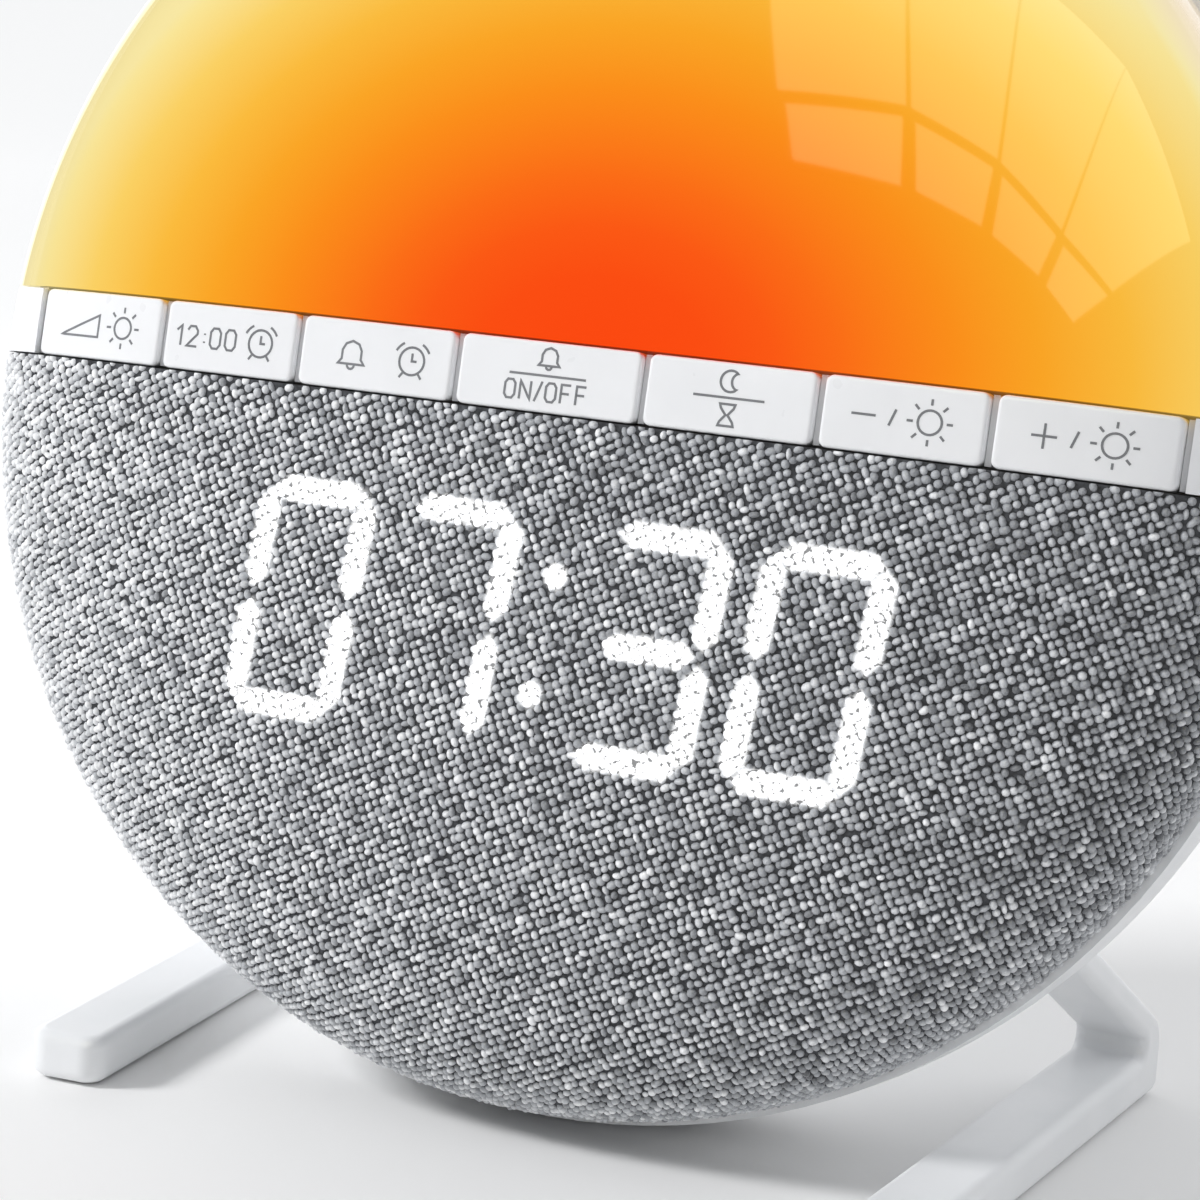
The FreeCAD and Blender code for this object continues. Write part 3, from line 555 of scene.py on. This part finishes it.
def make_knots():
    rng = np.random.default_rng(WEAVE_SEED)
    inset = CLOTH_INSET + WEAVE_SINK
    count = int(WEAVE_REACH / WEAVE_PITCH)
    steps = np.arange(-count, count + 1)
    i, j = (grid.ravel() for grid in np.meshgrid(steps, steps, indexing="ij"))
    cos, sin = math.cos(WEAVE_TURN), math.sin(WEAVE_TURN)
    u = (i * cos - j * sin) * WEAVE_PITCH + rng.normal(0, KNOT_SCATTER, i.size)
    v = (i * sin + j * cos) * WEAVE_PITCH + rng.normal(0, KNOT_SCATTER, i.size)
    centre, inside = cloth_points(u, v, inset)
    edge = STRIP_BOTTOM - STRIP_SEAM
    keep = inside & (centre[:, 2] < edge)
    i, j, u, v, centre = i[keep], j[keep], u[keep], v[keep], centre[keep]
    n = i.size
    step = 0.05
    along_u = cloth_points(u + step, v, inset)[0] - cloth_points(u - step, v, inset)[0]
    along_v = cloth_points(u, v + step, inset)[0] - cloth_points(u, v - step, inset)[0]
    along_u /= np.linalg.norm(along_u, axis=1, keepdims=True)
    normal = np.cross(along_v, along_u)
    normal /= np.linalg.norm(normal, axis=1, keepdims=True)
    flip = np.where(normal[:, 1] > 0, -1.0, 1.0)
    normal *= flip[:, None]
    across = np.cross(normal, along_u)
    warp = (i + j) % 2 == 0
    angle = np.where(warp, math.pi / 2, 0.0) + rng.normal(WEAVE_TURN - 0.1, 0.25, n)
    long_axis = along_u * np.cos(angle)[:, None] + across * np.sin(angle)[:, None]
    short_axis = np.cross(normal, long_axis)
    size = rng.normal(1.0, 0.13, (n, 3)).clip(0.7, 1.35)
    template, faces = knot_template()
    t = template[None]
    rise = t[..., 2:3] * (KNOT_HEIGHT + KNOT_ROOT) - KNOT_ROOT
    points = (
        centre[:, None]
        + long_axis[:, None] * (t[..., 0:1] * KNOT_LENGTH * size[:, None, 0:1])
        + short_axis[:, None] * (t[..., 1:2] * KNOT_WIDTH * size[:, None, 1:2])
        + normal[:, None] * (rise * size[:, None, 2:3])
    )
    # The yarn next to the key strip is tucked under its edge
    points[..., 2] = np.minimum(points[..., 2], edge)
    block = len(template)
    every = []
    for length in (3, 4):
        chosen = np.array([f for f in faces if len(f) == length])
        every.append((chosen[None] + np.arange(n)[:, None, None] * block).reshape(-1, length))
    obj = big_mesh("cloth_weave", to_frame(points.reshape(-1, 3)), every)
    # Painted light: the knots are paler and flatter towards the clock's left
    pale = ((-centre[:, 0] + PAINTED_LIGHT_START) / PAINTED_LIGHT_WIDTH).clip(0, 1)
    # Painted shade: each knot darkens towards its root, less so at the clock's left
    painted_root_shade = 1 - (0.65 - 0.4 * pale[:, None]) * (1 - template[None, :, 2])
    # Painted shade: the knots darken towards the clock's right, about a random tone
    tone = TONE_MIDDLE - PAINTED_SHADE_FALL * centre[:, 0]
    tone = rng.normal(tone, TONE_SPREAD - TONE_SPREAD_LOSS * pale, n).clip(0.1, 1.1)
    shade = (tone[:, None] * painted_root_shade).ravel()
    spots = 0.75 * points + 0.25 * centre[:, None]
    glow = digit_glow(spots[..., 0].ravel(), spots[..., 2].ravel(), 0.35)
    set_attribute(obj, "shade", shade)
    set_attribute(obj, "glow", glow)
    return obj


def big_mesh(name, points, groups):
    mesh = bpy.data.meshes.new(name)
    loops = np.concatenate([g.ravel() for g in groups])
    sizes = np.concatenate([np.full(len(g), g.shape[1]) for g in groups])
    starts = np.concatenate([[0], np.cumsum(sizes)[:-1]])
    mesh.vertices.add(len(points))
    mesh.vertices.foreach_set("co", points.ravel())
    mesh.loops.add(len(loops))
    mesh.loops.foreach_set("vertex_index", loops)
    mesh.polygons.add(len(sizes))
    mesh.polygons.foreach_set("loop_start", starts)
    mesh.polygons.foreach_set("use_smooth", np.ones(len(sizes), bool))
    mesh.update(calc_edges=True)
    mesh.validate()
    obj = bpy.data.objects.new(name, mesh)
    bpy.context.scene.collection.objects.link(obj)
    return obj


def set_attribute(obj, name, values):
    attribute = obj.data.attributes.new(name, "FLOAT", "POINT")
    attribute.data.foreach_set("value", np.asarray(values, np.float32))


def from_frame(obj):
    # The upright millimetre place of each vertex
    co = np.empty(len(obj.data.vertices) * 3)
    obj.data.vertices.foreach_get("co", co)
    p = co.reshape(-1, 3) / MM - np.array([0, SET_BACK, LIFT])
    cos, sin = math.cos(LEAN), math.sin(LEAN)
    return np.stack([p[:, 0], p[:, 1] * cos - p[:, 2] * sin, p[:, 1] * sin + p[:, 2] * cos], -1)


def make_cloth():
    cut = STRIP_BOTTOM - STRIP_SEAM
    ground = shell_piece("cloth_ground", CLOTH_INSET, CLOTH_THICKNESS, cut, False, 220, 420)
    sharpen(ground)
    places = from_frame(ground)
    set_attribute(ground, "glow", digit_glow(places[:, 0], places[:, 2]))
    ground.data.materials.append(cloth_base_material())
    weave = make_knots()
    weave.data.materials.append(knot_material())
    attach(ground, "clock")
    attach(weave, "clock")
    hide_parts("fabric_cover")


# Keys

def eased_steps(start, end, round_width, inner):
    # Grid lines closer together along the two rounded edges
    near = np.array([0, 0.08, 0.22, 0.42, 0.68, 1.0]) * round_width
    middle = np.linspace(start + round_width, end - round_width, inner)
    return np.concatenate([start + near[:-1], middle, end - near[:-1][::-1]])


def key_plate(x0, x1, z0, z1):
    xs = eased_steps(x0, x1, KEY_CORNER, 28)
    zs = eased_steps(z0, z1, KEY_CORNER, 8)
    x, z = np.meshgrid(xs, zs)
    inner_x = np.clip(x, x0 + KEY_CORNER, x1 - KEY_CORNER)
    inner_z = np.clip(z, z0 + KEY_CORNER, z1 - KEY_CORNER)
    a, b = (x - inner_x) / KEY_CORNER, (z - inner_z) / KEY_CORNER
    # A square corner is drawn in to a round one
    x = inner_x + KEY_CORNER * a * np.sqrt(1 - b * b / 2)
    z = inner_z + KEY_CORNER * b * np.sqrt(1 - a * a / 2)
    edge = KEY_CORNER - np.maximum(np.abs(a), np.abs(b)) * KEY_CORNER
    edge = np.where((np.abs(a) > 0) & (np.abs(b) > 0),
                    KEY_CORNER - np.hypot(x - inner_x, z - inner_z), edge)
    near = np.clip(KEY_ROUND - edge, 0, KEY_ROUND)
    drop = KEY_ROUND - np.sqrt(KEY_ROUND ** 2 - near ** 2)
    return x, z, drop


def make_key(name, x0, x1):
    x, z, drop = key_plate(x0, x1, STRIP_BOTTOM, STRIP_TOP)
    rows, columns = x.shape
    front = face_points(x, z)
    front[..., 1] += drop
    back = face_points(x, z)
    back[..., 1] = -face_depth_at(np.hypot(x, z), KEY_THICKNESS)
    points = [front.reshape(-1, 3), back.reshape(-1, 3)]
    count = rows * columns
    faces = grid_faces(rows, columns) + grid_faces(rows, columns, count, True)
    ring = list(range(columns)) + [i * columns + columns - 1 for i in range(1, rows)]
    ring += [(rows - 1) * columns + j for j in range(columns - 2, -1, -1)]
    ring += [i * columns for i in range(rows - 2, 0, -1)]
    for a, b in zip(ring, ring[1:] + ring[:1]):
        faces.append((b, a, a + count, b + count))
    middle, level = (x0 + x1) / 2, (STRIP_BOTTOM + STRIP_TOP) / 2
    stem_top = -face_depth_at(abs(middle), KEY_THICKNESS / 2)
    stem = []
    for y, bevel in ((stem_top, 0.0), (STEM_END_Y - STEM_BEVEL, 0.0), (STEM_END_Y, STEM_BEVEL)):
        half_width, half_height = STEM_WIDTH / 2 - bevel, STEM_HEIGHT / 2 - bevel
        for sx, sz in ((-1, -1), (1, -1), (1, 1), (-1, 1)):
            stem.append((middle + sx * half_width, y, level + sz * half_height))
    points.append(np.array(stem))
    base = 2 * count
    for layer in range(2):
        for k in range(4):
            a, b = base + layer * 4 + k, base + layer * 4 + (k + 1) % 4
            faces.append((a, b, b + 4, a + 4))
    faces += [(base + 3, base + 2, base + 1, base), (base + 8, base + 9, base + 10, base + 11)]
    obj = new_mesh(name + "_cap", to_frame(np.concatenate(points)), faces)
    close_and_orient(obj)
    sharpen(obj, 40)
    obj.data.materials.append(KEY_MATERIAL)
    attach(obj, name + "_key")
    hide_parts(name + "_key")


def key_spans():
    start = -sum(KEY_WIDTHS) / 2
    spans = []
    for name, width in zip(KEY_NAMES, KEY_WIDTHS):
        spans.append((name, start + KEY_GAP / 2, start + width - KEY_GAP / 2))
        start += width
    return spans


def make_ribs():
    # Low pale ribs of the key carrier that close the gaps between the keys
    reach = sum(KEY_WIDTHS) / 2
    middles = [start - KEY_GAP / 2 for _, start, _ in key_spans()] + [reach]
    points, faces = [], []
    z = np.linspace(STRIP_BOTTOM + RIB_MARGIN, STRIP_TOP - RIB_MARGIN, 8)
    half = KEY_GAP / 2 - RIB_PLAY
    for middle in middles:
        base = len(points)
        corners = ((-half, RIB_FOOT), (-half, RIB_DEPTH), (half, RIB_DEPTH), (half, RIB_FOOT))
        for x, inset in corners:
            points += list(face_points(np.full(8, middle + x), z, inset))
        for side in range(4):
            a, b = base + 8 * side, base + 8 * ((side + 1) % 4)
            for k in range(7):
                faces.append((a + k, b + k, b + k + 1, a + k + 1))
        faces.append(tuple(base + 8 * k for k in range(4)))
        faces.append(tuple(base + 8 * k + 7 for k in (3, 2, 1, 0)))
    obj = new_mesh("key_ribs", to_frame(np.array(points)), faces, False)
    close_and_orient(obj)
    plastic = plain_material("rib_plastic", srgb(204, 205, 208), srgb(210, 211, 214), 0.4)
    obj.data.materials.append(plastic)
    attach(obj, "clock")


# Signs on the keys, drawn as lines in millimetres about each key's middle

def ring(x, z, radius, start=0.0, end=360.0, steps=28):
    turn = np.radians(np.linspace(start, end, steps))
    return [(x + radius * math.cos(a), z + radius * math.sin(a)) for a in turn]


def sun_sign(x, z, radius):
    lines = [ring(x, z, radius)]
    for k in range(8):
        a = math.pi / 4 * k
        near, far = radius + 0.6, radius + 1.35
        lines.append([(x + near * math.cos(a), z + near * math.sin(a)),
                      (x + far * math.cos(a), z + far * math.sin(a))])
    return lines


def alarm_sign(x, z):
    radius = 1.75
    lines = [ring(x, z, radius), [(x, z + 1.0), (x, z), (x + 0.7, z)]]
    for side in (-1, 1):
        lines.append(ring(x + side * 0.1, z, radius + 0.75, 90 - side * 28, 90 - side * 62, 8))
        lines.append([(x + side * 1.1, z - 1.55), (x + side * 1.55, z - 2.15)])
    return lines


def bell_sign(x, z, size):
    outline = [(-1.5, -0.9), (-1.1, -0.4), (-1.1, 0.5), (-0.75, 1.15), (0, 1.45),
               (0.75, 1.15), (1.1, 0.5), (1.1, -0.4), (1.5, -0.9), (-1.5, -0.9)]
    lines = [[(x + size * a, z + size * b) for a, b in outline]]
    lines.append(ring(x, z - 1.0 * size, 0.4 * size, 180, 360, 8))
    return lines


def moon_sign(x, z, radius):
    outer = ring(x, z, radius, 50, 310, 24)
    inner = ring(x + 0.95 * radius, z, radius * 0.835, 247, 113, 18)
    return [outer + inner + outer[:1]]


def glass_sign(x, z, size):
    shape = [(-0.9, 1.2), (0.9, 1.2), (0.75, 0.75), (0.12, 0), (0.75, -0.75), (0.9, -1.2),
             (-0.9, -1.2), (-0.75, -0.75), (-0.12, 0), (-0.75, 0.75), (-0.9, 1.2)]
    return [[(x + size * a, z + size * b) for a, b in shape]]


GLYPHS = {
    "0": [[(0.3, 0), (0, 0.4), (0, 1.6), (0.3, 2), (0.9, 2), (1.2, 1.6), (1.2, 0.4), (0.9, 0),
           (0.3, 0)]],
    "1": [[(0.15, 1.5), (0.7, 2), (0.7, 0)]],
    "2": [[(0, 1.6), (0.3, 2), (0.9, 2), (1.2, 1.6), (1.2, 1.25), (0, 0), (1.25, 0)]],
    ":": [[(0.3, 1.4), (0.3, 1.25)], [(0.3, 0.6), (0.3, 0.45)]],
    "N": [[(0, 0), (0, 2), (1.25, 0), (1.25, 2)]],
    "F": [[(0, 0), (0, 2), (1.1, 2)], [(0, 1.05), (0.95, 1.05)]],
    "/": [[(0, -0.1), (0.75, 2.1)]],
}
GLYPHS["O"] = GLYPHS["0"]
ADVANCE = {":": 1.0, "1": 1.45, "/": 1.25}
WIDE_ADVANCE = 1.8
LETTER_GAP = 0.55


def text_sign(words, x, z, height):
    scale = height / 2
    width = sum(ADVANCE.get(letter, WIDE_ADVANCE) for letter in words) - LETTER_GAP
    pen = x - width * scale / 2
    lines = []
    for letter in words:
        for line in GLYPHS[letter]:
            lines.append([(pen + a * scale, z + (b - 1) * scale) for a, b in line])
        pen += ADVANCE.get(letter, WIDE_ADVANCE) * scale
    return lines


def key_signs(name):
    # Plain signs for what each key does
    if name == "dimmer":
        wedge = [(-6.4, -1.5), (0.2, 1.4), (0.2, -1.5), (-6.4, -1.5)]
        return [wedge] + sun_sign(4.4, 0, 1.4)
    if name == "time_set":
        return text_sign("12:00", -3.6, 0, 2.6) + alarm_sign(4.9, 0)
    if name == "alarm_set":
        return bell_sign(-3.4, -0.1, 1.25) + alarm_sign(5.2, 0)
    if name == "alarm_switch":
        rule = [(-5.2, 0.15), (5.2, 0.15)]
        return bell_sign(0, 2.25, 0.95) + [rule] + text_sign("ON/OFF", 0, -1.85, 2.3)
    if name == "sleep_timer":
        return moon_sign(0, 2.1, 1.3) + [[(-4.6, 0.1), (4.6, 0.1)]] + glass_sign(0, -2.0, 1.1)
    slash = [[(-1.6, -0.9), (-0.9, 1.1)]]
    bar = [[(-6.3, 0.1), (-3.3, 0.1)]]
    if name == "plus":
        bar.append([(-4.8, 1.6), (-4.8, -1.4)])
    return bar + slash + sun_sign(3.3, 0, 1.45)


def ribbon(line, width):
    # A line of even width, with mitred turns
    p = np.array(line, float)
    closed = np.allclose(p[0], p[-1])
    step = np.diff(p, axis=0)
    step /= np.linalg.norm(step, axis=1, keepdims=True)
    before = np.vstack([step[-1:] if closed else step[:1], step])
    after = np.vstack([step, step[:1] if closed else step[-1:]])
    side = np.stack([-(before + after)[:, 1], (before + after)[:, 0]], -1)
    side /= np.maximum(np.linalg.norm(side, axis=1, keepdims=True), 1e-6)
    flat = np.stack([-after[:, 1], after[:, 0]], -1)
    spread = 1 / np.maximum((side * flat).sum(1, keepdims=True), 0.5)
    return p + side * spread * width / 2, p - side * spread * width / 2


def denser(line, step=0.5):
    out = [line[0]]
    for a, b in zip(line, line[1:]):
        count = max(int(math.dist(a, b) / step), 1)
        for k in range(1, count + 1):
            out.append((a[0] + (b[0] - a[0]) * k / count, a[1] + (b[1] - a[1]) * k / count))
    return out


def make_sign(name, middle):
    level = (STRIP_BOTTOM + STRIP_TOP) / 2
    points, faces = [], []
    for line in key_signs(name):
        one, other = ribbon(denser(line), SIGN_LINE)
        base, n = len(points), len(one)
        for lift in (SIGN_LIFT, 0.0):
            for edge in (one, other):
                points += list(face_points(edge[:, 0] + middle, edge[:, 1] + level, 0, lift))
        for k in range(n - 1):
            a = base + k
            faces.append((a, a + 1, a + n + 1, a + n))
            faces.append((a, a + 2 * n, a + 2 * n + 1, a + 1))
            faces.append((a + n, a + n + 1, a + 3 * n + 1, a + 3 * n))
    obj = new_mesh(name + "_sign", to_frame(np.array(points)), faces, False)
    obj.data.materials.append(SIGN_MATERIAL)
    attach(obj, name + "_key")


# Camera, lights and floor

def make_camera():
    camera = bpy.data.objects.new("camera", bpy.data.cameras.new("camera"))
    bpy.context.scene.collection.objects.link(camera)
    az, el, roll = (math.radians(v) for v in (CAMERA_AZIMUTH, CAMERA_ELEVATION, CAMERA_ROLL))
    back = Vector((math.sin(az) * math.cos(el), -math.cos(az) * math.cos(el), math.sin(el)))
    level = Vector((math.cos(az), math.sin(az), 0))
    rise = back.cross(level)
    right = level * math.cos(roll) + rise * math.sin(roll)
    up = rise * math.cos(roll) - level * math.sin(roll)
    turn = Matrix((right, up, back)).transposed().to_4x4()
    camera.matrix_world = Matrix.Translation(CAMERA_PLACE) @ turn
    camera.data.lens = CAMERA_LENS
    camera.data.sensor_width = 36.0
    camera.data.clip_start = 0.01
    bpy.context.scene.camera = camera


def make_floor():
    bend, foot = BACKDROP_BEND, BACKDROP_PLACE - BACKDROP_BEND
    profile = [(-FLOOR_REACH, 0.0), (foot, 0.0)]
    for k in range(1, BEND_STEPS + 1):
        a = math.pi / 2 * k / BEND_STEPS
        profile.append((foot + bend * math.sin(a), bend - bend * math.cos(a)))
    profile.append((BACKDROP_PLACE, BACKDROP_TOP))
    points, faces = [], []
    for x in (-FLOOR_REACH, FLOOR_REACH):
        points += [(x, y, z) for y, z in profile]
    n = len(profile)
    for k in range(n - 1):
        faces.append((k, k + 1, n + k + 1, n + k))
    floor = new_mesh("floor", points, faces)
    m = Nodes("floor_paper")
    colour = m.ramp(m.noise(2.0, 3.0), [(0.3, srgb(245, 245, 245)), (0.7, srgb(249, 249, 249))])
    # Away from the clock, the camera sees plain white paper, whatever the lamps reach
    reach = m.add("ShaderNodeVectorMath", operation="LENGTH")
    m.link(m.coordinates(), reach.inputs[0])
    far = m.add("ShaderNodeMapRange", interpolation_type="SMOOTHSTEP")
    far.inputs["From Min"].default_value = PLAIN_FLOOR_START
    far.inputs["From Max"].default_value = PLAIN_FLOOR_FULL
    m.link(reach.outputs["Value"], far.inputs["Value"])
    camera_ray = m.add("ShaderNodeLightPath").outputs["Is Camera Ray"]
    seen = m.math("MULTIPLY", far.outputs["Result"], camera_ray)
    paper = m.add("ShaderNodeMix", data_type="RGBA")
    paper.inputs[7].default_value = (0, 0, 0, 1)
    m.link(seen, paper.inputs[0])
    m.link(colour, paper.inputs[6])
    m.link(paper.outputs[2], m.shader.inputs["Base Color"])
    m.shader.inputs["Emission Color"].default_value = (*srgb(*PLAIN_FLOOR_COLOUR), 1)
    m.link(seen, m.shader.inputs["Emission Strength"])
    m.shader.inputs["Roughness"].default_value = 0.75
    m.bump(m.noise(700.0, 3.0), 0.08, 0.0002)
    floor.data.materials.append(m.material)


def area_light(name, place, aim, size, power, in_gloss):
    data = bpy.data.lights.new(name, "AREA")
    data.shape = "RECTANGLE"
    data.size, data.size_y = size
    data.energy = power
    light = bpy.data.objects.new(name, data)
    light.location = place
    light.rotation_mode = "QUATERNION"
    light.rotation_quaternion = (Vector(aim) - Vector(place)).to_track_quat("-Z", "Y")
    light.visible_camera = False
    light.visible_glossy = in_gloss
    bpy.context.scene.collection.objects.link(light)


def make_world():
    world = bpy.data.worlds.new("studio")
    bpy.context.scene.world = world
    world.use_nodes = True
    background = world.node_tree.nodes["Background"]
    background.inputs["Color"].default_value = (0.97, 0.98, 1.0, 1)
    tree = world.node_tree
    path = tree.nodes.new("ShaderNodeLightPath")
    strength = tree.nodes.new("ShaderNodeMapRange")
    strength.inputs["To Min"].default_value = WORLD_LIGHT
    strength.inputs["To Max"].default_value = WORLD_SHEEN
    tree.links.new(path.outputs["Is Glossy Ray"], strength.inputs["Value"])
    seen = tree.nodes.new("ShaderNodeMapRange")
    seen.inputs["To Max"].default_value = WORLD_SEEN
    tree.links.new(path.outputs["Is Camera Ray"], seen.inputs["Value"])
    tree.links.new(strength.outputs["Result"], seen.inputs["To Min"])
    tree.links.new(seen.outputs["Result"], background.inputs["Strength"])


def make_window():
    # Panes of a window in front of the clock, seen only as a reflection in the glossy dome
    points, faces = [], []
    for low, high in zip(WINDOW_ROWS, WINDOW_ROWS[1:]):
        for k in range(4):
            corners = [Vector(c) for c in (low[k], low[k + 1], high[k + 1], high[k])]
            middle = sum(corners, Vector((0, 0))) / 4
            base = len(points)
            for corner in corners:
                inward = middle - corner
                corner = corner + inward.normalized() * WINDOW_GAP
                place = Vector(WINDOW_FROM) + Vector((corner.x, -1, corner.y)) * WINDOW_DISTANCE
                points.append(tuple(place))
            faces.append((base, base + 1, base + 2, base + 3))
    window = new_mesh("window_panes", points, faces, False)
    m = Nodes("window_light")
    sky = m.ramp(m.noise(1.2, 2.0), [(0.3, (1.0, 0.88, 0.5)), (0.7, (1.0, 0.94, 0.6))])
    m.link(sky, m.shader.inputs["Emission Color"])
    m.shader.inputs["Emission Strength"].default_value = WINDOW_STRENGTH
    m.shader.inputs["Base Color"].default_value = (0, 0, 0, 1)
    window.data.materials.append(m.material)
    window.visible_camera = False
    window.visible_diffuse = False
    window.visible_shadow = False


def make_lights():
    make_world()
    for light in LIGHTS:
        area_light(*light)
    make_window()


def finish_cad_nodes():
    # Materials for the frame's own pieces, by the record's slots
    looks = {
        "white_housing": HOUSING_MATERIAL, "white_feet": HOUSING_MATERIAL,
        "white_keys": KEY_MATERIAL,
    }
    for slot, dark, light, roughness, metallic in LOOKS:
        looks[slot] = plain_material(slot, dark, light, roughness, metallic=metallic)
    for part in frame["record"]["subparts"]:
        material = looks.get(part["material_slot"])
        materials = frame["nodes"][part["node"]].data.materials
        if material is None:
            continue
        if materials:
            materials[0] = material
        else:
            materials.append(material)


make_camera()
SIGN_MATERIAL = plain_material("sign_ink", srgb(118, 120, 124), srgb(128, 130, 134), 0.6)
KEY_MATERIAL = plain_material(
    "key_plastic", srgb(236, 237, 239), srgb(240, 241, 243), 0.32, 500.0, 0.1,
)
HOUSING_MATERIAL = plain_material(
    "housing_plastic", srgb(234, 236, 238), srgb(239, 240, 242), 0.38, 500.0, 0.1,
)
finish_cad_nodes()
make_lens()
make_cloth()
make_ribs()
for key_name, key_start, key_end in key_spans():
    make_key(key_name, key_start, key_end)
    make_sign(key_name, (key_start + key_end) / 2)
make_floor()
make_lights()
bpy.context.scene.view_settings.view_transform = "Standard"
